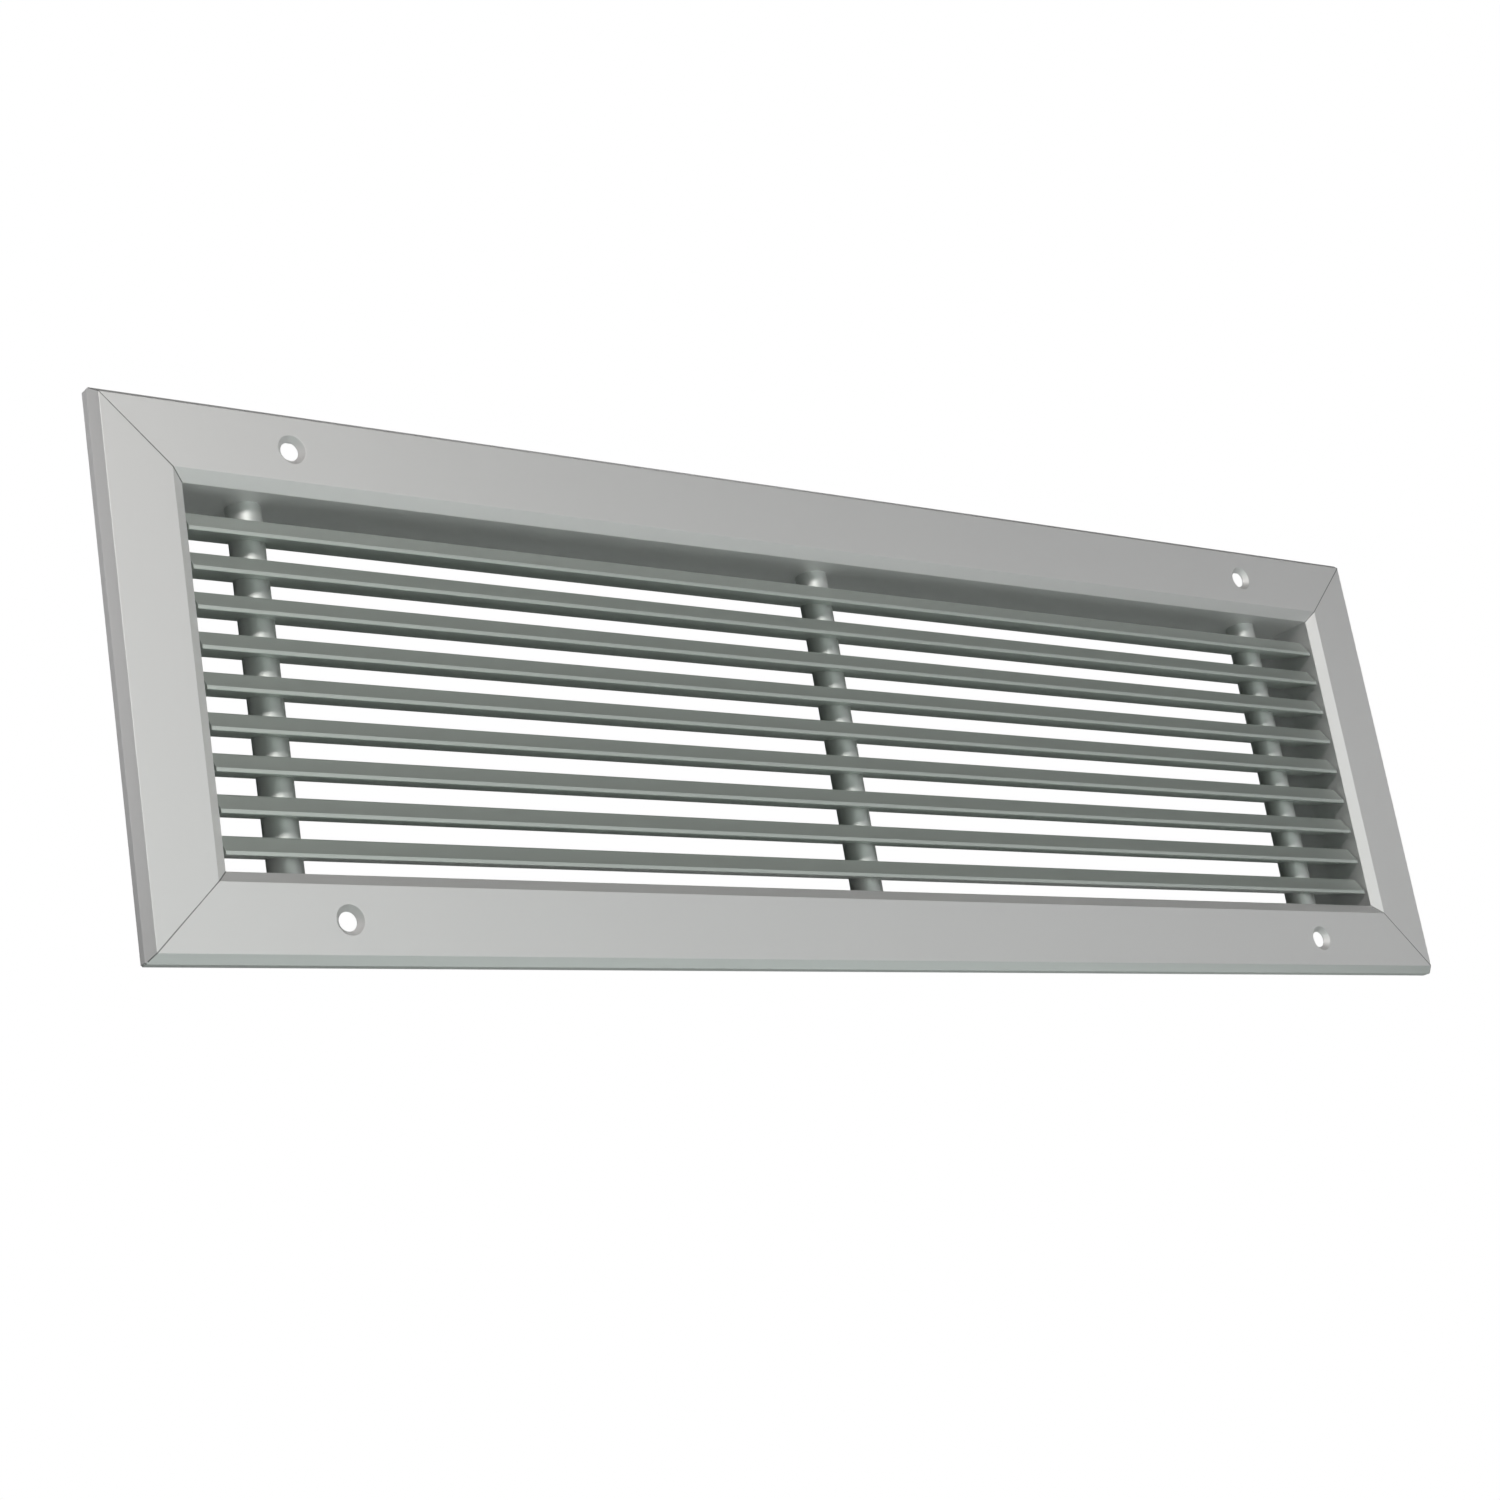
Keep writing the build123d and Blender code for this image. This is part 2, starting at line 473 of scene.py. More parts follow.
class NodeTree:
    """A geometry node tree in the making, with its named inputs."""

    def __init__(self, name: str, inputs: Sequence[TreeInput]) -> None:
        """Start a tree.

        Args:
            name: Name of the tree.
            inputs: The sizes and material that it is given.
        """
        self.inputs = inputs
        self.tree = bpy.data.node_groups.new(name, "GeometryNodeTree")
        face = self.tree.interface
        face.new_socket(name="Geometry", in_out="INPUT", socket_type="NodeSocketGeometry")
        self.identifiers = {
            item.name: face.new_socket(name=item.name, in_out="INPUT", socket_type=item.kind).identifier
            for item in inputs
        }
        face.new_socket(name="Geometry", in_out="OUTPUT", socket_type="NodeSocketGeometry")
        self.given = self.tree.nodes.new("NodeGroupInput").outputs
        self.result = self.tree.nodes.new("NodeGroupOutput").inputs["Geometry"]

    def add(self, kind: str, links: dict[str | int, object], **settings: object) -> bpy.types.Node:
        """Add a node and fill its inputs.

        Args:
            kind: Type of the node.
            links: A socket to link or a value to set, for each input by name or number.
            **settings: Properties of the node.

        Returns:
            The node.
        """
        node = self.tree.nodes.new(kind)
        for name, value in settings.items():
            setattr(node, name, value)
        for socket, value in links.items():
            if isinstance(value, bpy.types.NodeSocket):
                self.tree.links.new(value, node.inputs[socket])
            else:
                node.inputs[socket].default_value = value
        return node

    def vector(self, x: object, y: object, z: object) -> bpy.types.NodeSocket:
        """Combine three values or sockets into a vector."""
        return self.add("ShaderNodeCombineXYZ", {"X": x, "Y": y, "Z": z}).outputs["Vector"]

    def math(self, operation: str, *values: object) -> bpy.types.NodeSocket:
        """Work out one number from others."""
        return self.add("ShaderNodeMath", dict(enumerate(values)), operation=operation).outputs[0]

    def row(self, shape: bpy.types.NodeSocket, count: object, step: object) -> bpy.types.NodeSocket:
        """Repeat a shape in a straight row.

        Args:
            shape: Socket of the geometry to repeat.
            count: Number of copies.
            step: Vector socket from one copy to the next.

        Returns:
            The realized copies.
        """
        points = self.add("GeometryNodeMeshLine", {"Count": count, "Offset": step}).outputs["Mesh"]
        copies = self.add("GeometryNodeInstanceOnPoints", {"Points": points, "Instance": shape})
        return self.add("GeometryNodeRealizeInstances", {"Geometry": copies.outputs[0]}).outputs[0]

    def finish(self, shape: bpy.types.NodeSocket) -> None:
        """Give the shape its material and end the tree.

        Args:
            shape: Socket of the finished geometry.
        """
        material = self.given["Material"]
        dressed = self.add("GeometryNodeSetMaterial", {"Geometry": shape, "Material": material})
        self.tree.links.new(dressed.outputs["Geometry"], self.result)

    def run(self, piece: bpy.types.Object) -> bpy.types.Object:
        """Apply the tree to an object.

        Args:
            piece: The object whose mesh goes into the tree.

        Returns:
            The same object with the tree's result as a plain mesh.
        """
        modifier = piece.modifiers.new(self.tree.name, "NODES")
        modifier.node_group = self.tree
        for item in self.inputs:
            modifier[self.identifiers[item.name]] = item.value
        return bake(piece)


@dataclass(frozen=True)
class FlangeSection:
    """Section of a frame member: across runs out from the opening, up runs back into the wall."""

    border: float
    face_y: float
    collar_rear_y: float
    face_wall: float = 2.0 * MM
    side_wall: float = 1.8 * MM
    collar_wall: float = 1.5 * MM
    inner_bevel_width: float = 3.8 * MM
    inner_bevel_depth: float = 2.6 * MM
    outer_bevel_width: float = 2.3 * MM
    outer_bevel_depth: float = 3.2 * MM
    bevel_backing: float = 0.6
    edge_radius: float = 0.35 * MM
    key_width: float = 10.0 * MM
    key_thickness: float = 1.5 * MM
    key_clearance: float = 0.1 * MM
    hook_stem: float = 1.0 * MM
    hook_thickness: float = 1.0 * MM
    hook_reach: float = 0.9 * MM

    @property
    def flat_middle(self) -> float:
        """Distance from the opening to the middle of the flat face."""
        return (self.inner_bevel_width + self.border - self.outer_bevel_width) / 2

    @property
    def face_back_y(self) -> float:
        """Place of the back of the face."""
        return self.face_y + self.face_wall

    def outline(self, steps: int = 5) -> list[Point]:
        """Work out the outline.

        Args:
            steps: Number of straight steps in each rounded edge.

        Returns:
            The points of the section in order.
        """
        back = self.face_back_y
        outer_side = self.border - self.side_wall
        front = [
            Corner(0.0, self.collar_rear_y),
            Corner(0.0, self.face_y + self.inner_bevel_depth, self.edge_radius),
            Corner(self.inner_bevel_width, self.face_y, self.edge_radius),
            Corner(self.border - self.outer_bevel_width, self.face_y, self.edge_radius),
            Corner(self.border, self.face_y + self.outer_bevel_depth, self.edge_radius),
            Corner(self.border, 0.0),
            Corner(outer_side, 0.0),
            Corner(outer_side, back + self.bevel_backing * self.outer_bevel_depth),
            Corner(outer_side - self.bevel_backing * self.outer_bevel_width, back),
        ]
        rear = [
            Corner(self.collar_wall + self.bevel_backing * self.inner_bevel_width, back),
            Corner(self.collar_wall, back + self.bevel_backing * self.inner_bevel_depth),
            Corner(self.collar_wall, self.collar_rear_y),
        ]
        outer_hook = self._hook(1)
        inner_hook = list(reversed(self._hook(-1)))
        return rounded([*front, *outer_hook, *inner_hook, *rear], steps)

    def _hook(self, side: int) -> list[Corner]:
        """Work out one hook of the key channel.

        Args:
            side: -1 for the hook beside the opening, 1 for the one beside the outer wall.

        Returns:
            The hook's corners, from its outside to its inside.
        """
        inside = self.flat_middle + side * (self.key_width / 2 + self.key_clearance)
        outside = inside + side * self.hook_stem
        tip = inside - side * self.hook_reach
        under = self.face_back_y + self.key_thickness + self.key_clearance
        over = under + self.hook_thickness
        return [
            Corner(outside, self.face_back_y),
            Corner(outside, over),
            Corner(tip, over),
            Corner(tip, under),
            Corner(inside, under),
            Corner(inside, self.face_back_y),
        ]


@dataclass(frozen=True)
class Member:
    """One side of the frame: which way it faces, how far out it stands and half its length."""

    name: str
    outward: Vector
    reach: float
    half_length: float

    @property
    def along(self) -> Vector:
        """Direction in which the member runs."""
        return Vector((1, 0, 0)) if self.outward.z else Vector((0, 0, 1))

    def ring(self, outline: Sequence[Point], end: int) -> list[Vector]:
        """Place the section at one mitred end.

        Args:
            outline: The section's points.
            end: -1 or 1, for the end at the low or the high side.

        Returns:
            The points of the section on the mitre.
        """
        return [
            self.outward * (self.reach + out)
            + self.along * (end * (self.half_length + out))
            + Vector((0, depth, 0))
            for out, depth in outline
        ]


@dataclass
class FlangeFrame:
    """The mitred frame: four members of one section, with countersunk screw holes."""

    opening_half_width: float
    opening_half_height: float
    section: FlangeSection
    bar_columns: Sequence[float]
    bar_y: float
    screw_spacing: float = 422.0 * MM
    screw_hole_diameter: float = 6.0 * MM
    countersink_diameter: float = 9.4 * MM
    bar_hole_width: float = 4.2 * MM
    broken_edge: float = 0.12 * MM
    filed_corners: tuple[tuple[int, int, float], ...] = (
        (-1, 1, 0.5 * MM),
        (-1, -1, 0.4 * MM),
        (1, 1, 0.35 * MM),
        (1, -1, 0.25 * MM),
    )
    hole_sides: int = 64

    def members(self) -> list[Member]:
        """List the four sides of the frame.

        Returns:
            The top, bottom, left and right members.
        """
        width, height = self.opening_half_width, self.opening_half_height
        return [
            Member("top", Vector((0, 0, 1)), height, width),
            Member("bottom", Vector((0, 0, -1)), height, width),
            Member("left", Vector((-1, 0, 0)), width, height),
            Member("right", Vector((1, 0, 0)), width, height),
        ]

    def build(self) -> None:
        """Build and dress every member."""
        mitre = self.opening_half_width - self.opening_half_height
        rear = self.section.face_y + self.section.inner_bevel_depth
        along_x = replace(FLANGE_ALONG_X, mitre_offset=mitre, joint_rear=rear).material()
        along_z = replace(FLANGE_ALONG_Z, mitre_offset=mitre, joint_rear=rear).material()
        outline = self.section.outline()
        for member in self.members():
            piece = loft(f"flange_{member.name}", [member.ring(outline, end) for end in (-1, 1)])
            if member.outward.z:
                carve(piece, [*self._screw_cutters(member), *self._bar_cutters(member)])
            self._file_corners(piece)
            soften(piece, self.broken_edge)
            dress(piece, along_x if member.outward.z else along_z)
            hand_over(piece, [f"frame_{member.name}"])

    def _file_corners(self, piece: bpy.types.Object) -> None:
        """Take the point off the outer corners that a member shares with its neighbours.

        Args:
            piece: The member.
        """
        border = self.section.border
        shell = bmesh.new()
        shell.from_mesh(piece.data)
        outer_x, outer_z = self.opening_half_width + border, self.opening_half_height + border
        for side, end, depth in self.filed_corners:
            outward = Vector((side, 0, end)).normalized()
            cut = bmesh.ops.bisect_plane(
                shell,
                geom=[*shell.verts, *shell.edges, *shell.faces],
                plane_co=Vector((side * outer_x, 0, end * outer_z)) - outward * depth,
                plane_no=outward,
                clear_outer=True,
            )
            rim = [item for item in cut["geom_cut"] if isinstance(item, bmesh.types.BMEdge)]
            if rim:
                bmesh.ops.edgeloop_fill(shell, edges=rim)
        bmesh.ops.recalc_face_normals(shell, faces=shell.faces)
        shell.to_mesh(piece.data)
        shell.free()

    def _screw_cutters(self, member: Member) -> list[bpy.types.Object]:
        """Shape the countersunk screw holes of one member.

        Args:
            member: The member that they go through.

        Returns:
            The shapes to take away.
        """
        height = member.outward.z * (self.opening_half_height + self.section.flat_middle)
        wide, narrow = self.countersink_diameter / 2, self.screw_hole_diameter / 2
        face = self.section.face_y
        profile = [
            (wide + CUT_MARGIN, face - CUT_MARGIN),
            (narrow, face + wide - narrow),
            (narrow, self.section.face_back_y + CUT_MARGIN),
        ]
        places = [Vector((side * self.screw_spacing / 2, 0, height)) for side in (-1, 1)]
        return [lathe(f"hole_{place.x:.3f}", profile, place, self.hole_sides) for place in places]

    def _bar_cutters(self, member: Member) -> list[bpy.types.Object]:
        """Shape the square holes for the tie bars in the neck wall of one member.

        Args:
            member: The member that they go through.

        Returns:
            The shapes to take away.
        """
        half = self.bar_hole_width / 2
        low = self.opening_half_height - CUT_MARGIN
        high = self.opening_half_height + self.section.collar_wall + CUT_MARGIN
        cutters = []
        for column in self.bar_columns:
            corners = [(-half, -half), (half, -half), (half, half), (-half, half)]
            rings = [
                [Vector((column + x, self.bar_y + y, member.outward.z * z)) for x, y in corners]
                for z in (low, high)
            ]
            cutters.append(loft(f"bar_hole_{column:.3f}", rings))
        return cutters


@dataclass(frozen=True)
class BladeSection:
    """Drop-shaped section of a blade from its nose's lower edge: across runs back, up is up."""

    angle: float = radians(15.0)
    depth: float = 17.8 * MM
    nose_land: float = 1.3 * MM
    nose_radius: float = 0.25 * MM
    shoulder_setback: float = 4.0 * MM
    shoulder_height: float = 7.45 * MM
    shoulder_radius: float = 2.5 * MM
    tail_thickness: float = 1.5 * MM
    tail_radius: float = 0.6 * MM

    @property
    def tail_underside(self) -> float:
        """Height of the underside at the tail."""
        return self.depth * tan(self.angle)

    @property
    def topside_slope(self) -> float:
        """Rise of the topside for each metre back, which is a fall."""
        tail_top = self.tail_underside + self.tail_thickness
        return (tail_top - self.shoulder_height) / (self.depth - self.shoulder_setback)

    def topside(self, back: float) -> float:
        """Height of the flat topside at a distance behind the nose."""
        return self.shoulder_height + self.topside_slope * (back - self.shoulder_setback)

    def underside(self, back: float) -> float:
        """Height of the underside at a distance behind the nose."""
        return back * tan(self.angle)

    def outline(self, steps: int = 8) -> list[Point]:
        """Work out the outline.

        Args:
            steps: Number of straight steps in each rounded edge.

        Returns:
            The points of the section in order.
        """
        tail_top = self.tail_underside + self.tail_thickness
        return rounded(
            [
                Corner(0.0, 0.0, self.nose_radius),
                Corner(0.0, self.nose_land, self.nose_radius),
                Corner(self.shoulder_setback, self.shoulder_height, self.shoulder_radius),
                Corner(self.depth, tail_top, self.tail_radius),
                Corner(self.depth, self.tail_underside, self.tail_radius),
            ],
            steps,
        )


@dataclass
class BladeCore:
    """The row of fixed, inclined blades."""

    section: BladeSection
    count: int
    pitch: float
    half_length: float
    nose_y: float
    top_nose_height: float
    bar_columns: Sequence[float]
    bar_y: float
    bar_hole_width: float = 4.2 * MM
    broken_edge: float = 0.1 * MM

    def build(self) -> None:
        """Build and dress the blades as one piece."""
        outline = [(self.nose_y + back, self.top_nose_height + up) for back, up in self.section.outline()]
        rings = [[Vector((end * self.half_length, y, z)) for y, z in outline] for end in (-1, 1)]
        blades = loft("blades", rings)
        self._tree(BLADE_FINISH.material()).run(blades)
        soften(blades, self.broken_edge, 1)
        hand_over(blades, [f"blade_{number}" for number in range(1, self.count + 1)])

    def _tree(self, material: bpy.types.Material) -> NodeTree:
        """Make the tree that punches one blade for the tie bars and repeats it down the grille.

        Args:
            material: The blades' material.

        Returns:
            The tree, ready to run on the top blade.
        """
        tree = NodeTree(
            "blade_row",
            [
                TreeInput("Count", "NodeSocketInt", self.count),
                TreeInput("Pitch", "NodeSocketFloat", self.pitch),
                TreeInput("Columns", "NodeSocketInt", len(self.bar_columns)),
                TreeInput("Column spacing", "NodeSocketFloat", self.bar_columns[1] - self.bar_columns[0]),
                TreeInput("First column", "NodeSocketFloat", self.bar_columns[0]),
                TreeInput("Bar place", "NodeSocketFloat", self.bar_y),
                TreeInput("Hole width", "NodeSocketFloat", self.bar_hole_width),
                TreeInput("Hole height", "NodeSocketFloat", self.top_nose_height),
                TreeInput("Material", "NodeSocketMaterial", material),
            ],
        )
        given = tree.given
        tall = tree.math("MULTIPLY", given["Pitch"], BLADE_PUNCH_PITCHES)
        punch = tree.add(
            "GeometryNodeMeshCube", {"Size": tree.vector(given["Hole width"], given["Hole width"], tall)}
        )
        first = tree.vector(given["First column"], given["Bar place"], given["Hole height"])
        placed = tree.add(
            "GeometryNodeTransform", {"Geometry": punch.outputs["Mesh"], "Translation": first}
        )
        step = tree.vector(given["Column spacing"], 0.0, 0.0)
        punches = tree.row(placed.outputs["Geometry"], given["Columns"], step)
        punched = tree.add(
            "GeometryNodeMeshBoolean",
            {"Mesh 1": given["Geometry"], "Mesh 2": punches},
            operation="DIFFERENCE",
            solver="EXACT",
        )
        down = tree.vector(0.0, 0.0, tree.math("MULTIPLY", given["Pitch"], -1.0))
        tree.finish(tree.row(punched.outputs["Mesh"], given["Count"], down))
        return tree


@dataclass(frozen=True)
class SpacerRow:
    """Equal spacers in every column: the planes that cut their ends, and how often they repeat."""

    name: str
    gaps: Sequence[int]
    lower_height: float
    lower_slope: float
    upper_height: float
    upper_slope: float


@dataclass
class SpacerColumns:
    """The spacers, threaded on the tie bars between the blades."""

    section: BladeSection
    blade_count: int
    pitch: float
    nose_y: float
    top_nose_height: float
    opening_half_height: float
    bar_columns: Sequence[float]
    bar_y: float
    diameter: float = 11.0 * MM
    bore_width: float = 4.2 * MM
    sides: int = 64

    def rows(self) -> list[SpacerRow]:
        """List the kinds of spacer, by the gaps that they fill, counted from the top.

        Returns:
            The top spacers, those between two blades and the bottom ones.
        """
        back = self.bar_y - self.nose_y
        above, below = self.section.underside(back), self.section.topside(back)
        rise, fall = tan(self.section.angle), self.section.topside_slope
        lowest = self.top_nose_height - (self.blade_count - 1) * self.pitch
        first, last = 1, self.blade_count + 1
        height = self.top_nose_height
        return [
            SpacerRow("spacers_top", [first], height + below, fall, self.opening_half_height, 0.0),
            SpacerRow(
                "spacers_between",
                range(first + 1, last),
                height - self.pitch + below,
                fall,
                height + above,
                rise,
            ),
            SpacerRow("spacers_bottom", [last], -self.opening_half_height, 0.0, lowest + above, rise),
        ]

    def build(self) -> None:
        """Build and dress every kind of spacer."""
        material = SPACER_FINISH.material()
        for row in self.rows():
            holder = bpy.data.objects.new(row.name, bpy.data.meshes.new(row.name))
            bpy.context.scene.collection.objects.link(holder)
            piece = self._tree(row, material).run(holder)
            shade(piece)
            nodes = [f"spacer_{column}_{gap}" for column in COLUMNS for gap in row.gaps]
            hand_over(piece, nodes)

    def _tree(self, row: SpacerRow, material: bpy.types.Material) -> NodeTree:
        """Make the tree that cuts one spacer to its seats and repeats it down and across.

        Args:
            row: The kind of spacer.
            material: The spacers' material.

        Returns:
            The tree, ready to run on an empty object.
        """
        tree = NodeTree(
            row.name,
            [
                TreeInput("Radius", "NodeSocketFloat", self.diameter / 2),
                TreeInput("Sides", "NodeSocketInt", self.sides),
                TreeInput("Bore width", "NodeSocketFloat", self.bore_width),
                TreeInput("Lower height", "NodeSocketFloat", row.lower_height),
                TreeInput("Lower slope", "NodeSocketFloat", row.lower_slope),
                TreeInput("Upper height", "NodeSocketFloat", row.upper_height),
                TreeInput("Upper slope", "NodeSocketFloat", row.upper_slope),
                TreeInput("Count", "NodeSocketInt", len(row.gaps)),
                TreeInput("Pitch", "NodeSocketFloat", self.pitch),
                TreeInput("Columns", "NodeSocketInt", len(self.bar_columns)),
                TreeInput("Column spacing", "NodeSocketFloat", self.bar_columns[1] - self.bar_columns[0]),
                TreeInput("First column", "NodeSocketFloat", self.bar_columns[0]),
                TreeInput("Bar place", "NodeSocketFloat", self.bar_y),
                TreeInput("Material", "NodeSocketMaterial", material),
            ],
        )
        given = tree.given
        blank = tree.add(
            "GeometryNodeMeshCylinder",
            {"Vertices": given["Sides"], "Radius": given["Radius"], "Depth": 1.0},
            fill_type="NGON",
        )
        place = tree.add("GeometryNodeInputPosition", {}).outputs["Position"]
        split = tree.add("ShaderNodeSeparateXYZ", {"Vector": place}).outputs
        lower = tree.math("MULTIPLY_ADD", split["Y"], given["Lower slope"], given["Lower height"])
        upper = tree.math("MULTIPLY_ADD", split["Y"], given["Upper slope"], given["Upper height"])
        share = tree.math("ADD", split["Z"], MIDDLE)
        height = tree.math("MULTIPLY_ADD", tree.math("SUBTRACT", upper, lower), share, lower)
        seated = tree.add(
            "GeometryNodeSetPosition",
            {"Geometry": blank.outputs["Mesh"], "Position": tree.vector(split["X"], split["Y"], height)},
        )
        reach = tree.math("MULTIPLY", given["Pitch"], SPACER_PUNCH_PITCHES)
        punch = tree.add(
            "GeometryNodeMeshCube", {"Size": tree.vector(given["Bore width"], given["Bore width"], reach)}
        )
        bored = tree.add(
            "GeometryNodeMeshBoolean",
            {"Mesh 1": seated.outputs["Geometry"], "Mesh 2": punch.outputs["Mesh"]},
            operation="DIFFERENCE",
            solver="EXACT",
        )
        first = tree.vector(given["First column"], given["Bar place"], 0.0)
        placed = tree.add(
            "GeometryNodeTransform", {"Geometry": bored.outputs["Mesh"], "Translation": first}
        )
        down = tree.vector(0.0, 0.0, tree.math("MULTIPLY", given["Pitch"], -1.0))
        column = tree.row(placed.outputs["Geometry"], given["Count"], down)
        across = tree.vector(given["Column spacing"], 0.0, 0.0)
        tree.finish(tree.row(column, given["Columns"], across))
        return tree


@dataclass
class CarriedPieces:
    """Solids that keep their own mesh and only get a finish: the tie bars and the corner keys."""

    def build(self) -> None:
        """Dress the solids."""
        bar, key = BAR_FINISH.material(), KEY_FINISH.material()
        for name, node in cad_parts.items():
            if name.startswith("tie_bar"):
                dress(node, bar)
            elif name.startswith("corner_key"):
                dress(node, key)


@dataclass(frozen=True)
class Lamp:
    """A soft lamp: where it stands, its width and height, its power in watts and its colour."""

    name: str
    place: tuple[float, float, float]
    size: tuple[float, float]
    power: float
    colour: tuple[float, float, float] = (1.0, 1.0, 1.0)

    def build(self) -> None:
        """Add the lamp, pointed at the grille and unseen by the camera."""
        data = bpy.data.lights.new(self.name, "AREA")
        data.shape = "RECTANGLE"
        data.size, data.size_y = self.size
        data.energy = self.power
        data.color = self.colour
        lamp = bpy.data.objects.new(self.name, data)
        lamp.location = self.place
        lamp.rotation_euler = (-Vector(self.place)).to_track_quat("-Z", "Y").to_euler()
        lamp.visible_camera = False
        bpy.context.scene.collection.objects.link(lamp)


@dataclass
class Studio:
    """The plain floor, the soft light and the camera at the photograph's angle."""

    floor_height: float = -0.46
    floor_half_size: float = 6.0
    floor_colour: tuple[float, float, float] = (0.5, 0.54, 0.52)
    floor_roughness: float = 0.9
    floor_glow: float = 0.68
    room_in_front: tuple[float, float, float] = (0.0, 0.0, 0.0)
    room_behind: tuple[float, float, float] = (0.018, 0.024, 0.02)
    front_edge: float = -0.8
    back_edge: float = 0.4
    lamps: tuple[Lamp, ...] = (
        Lamp("key", (-0.498, -1.068, 0.549), (0.22, 0.22), 6.8, (1.0, 0.986, 0.955)),
        Lamp("fill_below", (-0.215, -1.218, -0.402), (0.5, 0.5), 5.3, (0.89, 1.0, 0.94)),
        Lamp("fill_right", (0.628, -1.346, -0.209), (0.6, 0.6), 2.4, (0.97, 0.98, 1.0)),
        Lamp("fill_far_right", (1.132, -0.949, 0.26), (0.6, 0.6), 1.15),
        Lamp("right", (1.2, -0.055, 0.16), (0.05, 0.4), 1.3, (0.98, 1.0, 0.93)),
        Lamp("left", (-0.375, 0.035, 0.04), (0.02, 0.3), 0.08),
        Lamp("under", (0.02, 0.0, -0.42), (0.03, 0.95), 0.42, (0.88, 1.0, 0.95)),
        Lamp("rear", (0.7, 0.9, 0.75), (0.5, 0.5), 3.2),
    )
    image_size: float = 1500.0
    sensor_width: float = 36.0
    focal_pixels: float = 2771.4
    centre_column: float = 762.87
    centre_row: float = 789.3
    camera_place: tuple[float, float, float] = (-0.61087, -0.67771, -0.27782)
    heading: float = radians(39.846)
    pitch: float = radians(16.017)
    roll: float = radians(-9.659)
    nearest_seen: float = 0.01
    farthest_seen: float = 100.0

    def build(self) -> None:
        """Build the floor, the light and the camera."""
        view = bpy.context.scene.view_settings
        view.view_transform = "Standard"
        view.look = "None"
        self._floor()
        self._surroundings()
        for lamp in self.lamps:
            lamp.build()
        self._camera()

    def _floor(self) -> None:
        """Lay a plain floor below the camera, which its own glow keeps pale in every view."""
        reach, height = self.floor_half_size, self.floor_height
        mesh = bpy.data.meshes.new("floor")
        corners = [(x * reach, y * reach, height) for x, y in ((-1, -1), (1, -1), (1, 1), (-1, 1))]
        mesh.from_pydata(corners, [], [(0, 1, 2, 3)])
        floor = bpy.data.objects.new("floor", mesh)
        bpy.context.scene.collection.objects.link(floor)
        pale = bpy.data.materials.new("pale_floor")
        pale.use_nodes = True
        shader = pale.node_tree.nodes["Principled BSDF"]
        shader.inputs["Base Color"].default_value = (*self.floor_colour, 1.0)
        shader.inputs["Roughness"].default_value = self.floor_roughness
        glow = pale.node_tree.nodes.new("ShaderNodeMath")
        glow.operation = "MULTIPLY"
        glow.inputs[1].default_value = self.floor_glow
        ray = pale.node_tree.nodes.new("ShaderNodeLightPath")
        pale.node_tree.links.new(ray.outputs["Is Camera Ray"], glow.inputs[0])
        pale.node_tree.links.new(glow.outputs[0], shader.inputs["Emission Strength"])
        shader.inputs["Emission Color"].default_value = WHITE
        mesh.materials.append(pale)

    def _surroundings(self) -> None:
        """Show the room as plain white, and let it light the grille only dimly, from behind."""
        world = bpy.data.worlds.new("studio")
        bpy.context.scene.world = world
        world.use_nodes = True
        tree = world.node_tree
        tree.nodes.clear()
        out = tree.nodes.new("ShaderNodeOutputWorld")
        seen = tree.nodes.new("ShaderNodeBackground")
        seen.inputs["Color"].default_value = WHITE
        lit = tree.nodes.new("ShaderNodeBackground")
        tree.links.new(self._gradient(tree), lit.inputs["Color"])
        ray = tree.nodes.new("ShaderNodeLightPath")
        either = tree.nodes.new("ShaderNodeMixShader")
        tree.links.new(ray.outputs["Is Camera Ray"], either.inputs["Fac"])
        tree.links.new(lit.outputs[0], either.inputs[1])
        tree.links.new(seen.outputs[0], either.inputs[2])
        tree.links.new(either.outputs[0], out.inputs["Surface"])

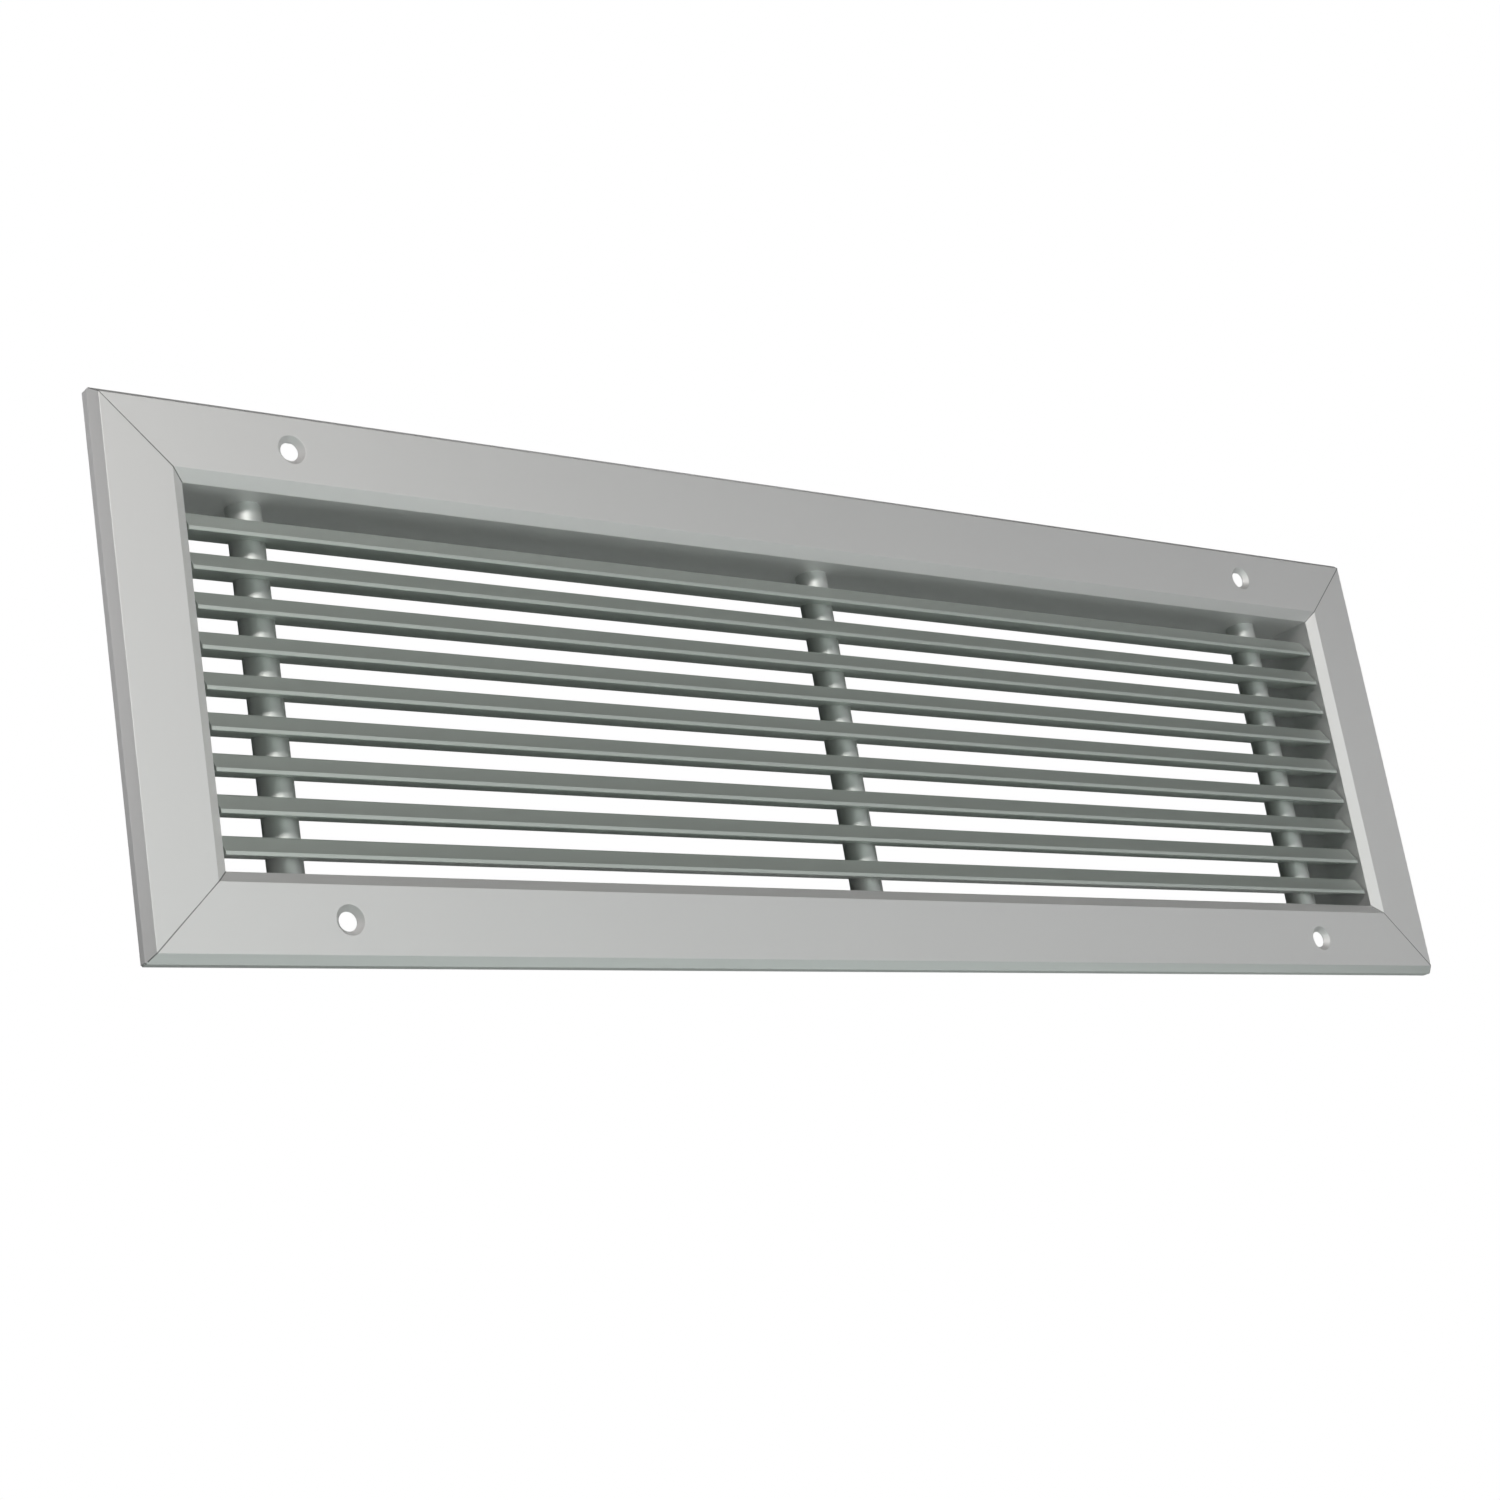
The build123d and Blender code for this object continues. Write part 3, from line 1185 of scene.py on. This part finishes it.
    def _gradient(self, tree: bpy.types.NodeTree) -> bpy.types.NodeSocket:
        """Make the room's own light, which fades from dim behind the grille to dark in front.

        Args:
            tree: The world's node tree.

        Returns:
            The light's colour socket.
        """
        direction = tree.nodes.new("ShaderNodeTexCoord")
        split = tree.nodes.new("ShaderNodeSeparateXYZ")
        tree.links.new(direction.outputs["Generated"], split.inputs["Vector"])
        ramp = tree.nodes.new("ShaderNodeMapRange")
        ramp.interpolation_type = "SMOOTHSTEP"
        ramp.inputs["From Min"].default_value = self.front_edge
        ramp.inputs["From Max"].default_value = self.back_edge
        tree.links.new(split.outputs["Y"], ramp.inputs["Value"])
        blend = tree.nodes.new("ShaderNodeMix")
        blend.data_type = "RGBA"
        tree.links.new(ramp.outputs["Result"], blend.inputs["Factor"])
        blend.inputs["A"].default_value = (*self.room_in_front, 1.0)
        blend.inputs["B"].default_value = (*self.room_behind, 1.0)
        return blend.outputs["Result"]

    def _camera(self) -> None:
        """Set the camera where the photograph was taken."""
        data = bpy.data.cameras.new("camera")
        data.sensor_width = self.sensor_width
        data.lens = self.sensor_width * self.focal_pixels / self.image_size
        data.shift_x = (self.image_size / 2 - self.centre_column) / self.image_size
        data.shift_y = (self.centre_row - self.image_size / 2) / self.image_size
        data.clip_start, data.clip_end = self.nearest_seen, self.farthest_seen
        camera = bpy.data.objects.new("camera", data)
        turn = (
            Matrix.Rotation(-self.heading, 4, "Z")
            @ Matrix.Rotation(pi / 2 + self.pitch, 4, "X")
            @ Matrix.Rotation(self.roll, 4, "Z")
        )
        camera.matrix_world = Matrix.Translation(self.camera_place) @ turn
        bpy.context.scene.collection.objects.link(camera)
        bpy.context.scene.camera = camera


def main() -> None:
    """Build the grille round its solids and set it in the studio."""
    logging.basicConfig(level=logging.INFO, format="%(name)s: %(message)s")
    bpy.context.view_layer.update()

    top_low, top_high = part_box("frame_top")
    left_low, left_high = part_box("frame_left")
    border = left_high.x - left_low.x
    half_width, half_height = top_high.x - border, top_high.z - border
    bars = [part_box(f"tie_bar_{column}") for column in COLUMNS]
    columns = [(low.x + high.x) / 2 for low, high in bars]
    bar_y = (bars[1][0].y + bars[1][1].y) / 2

    section = BladeSection()
    blade_count = sum(name.startswith("blade_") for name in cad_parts)
    first_low, first_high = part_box("blade_1")
    last_low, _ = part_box(f"blade_{blade_count}")
    pitch = (first_low.z - last_low.z) / (blade_count - 1)
    nose_y = first_low.y
    top_nose_height = first_low.z - min(up for _, up in section.outline())

    flange = FlangeSection(border, top_low.y, top_high.y)
    FlangeFrame(half_width, half_height, flange, columns, bar_y).build()
    BladeCore(section, blade_count, pitch, first_high.x, nose_y, top_nose_height, columns, bar_y).build()
    SpacerColumns(section, blade_count, pitch, nose_y, top_nose_height, half_height, columns, bar_y).build()
    CarriedPieces().build()
    Studio().build()


if __name__ == "__main__":
    main()
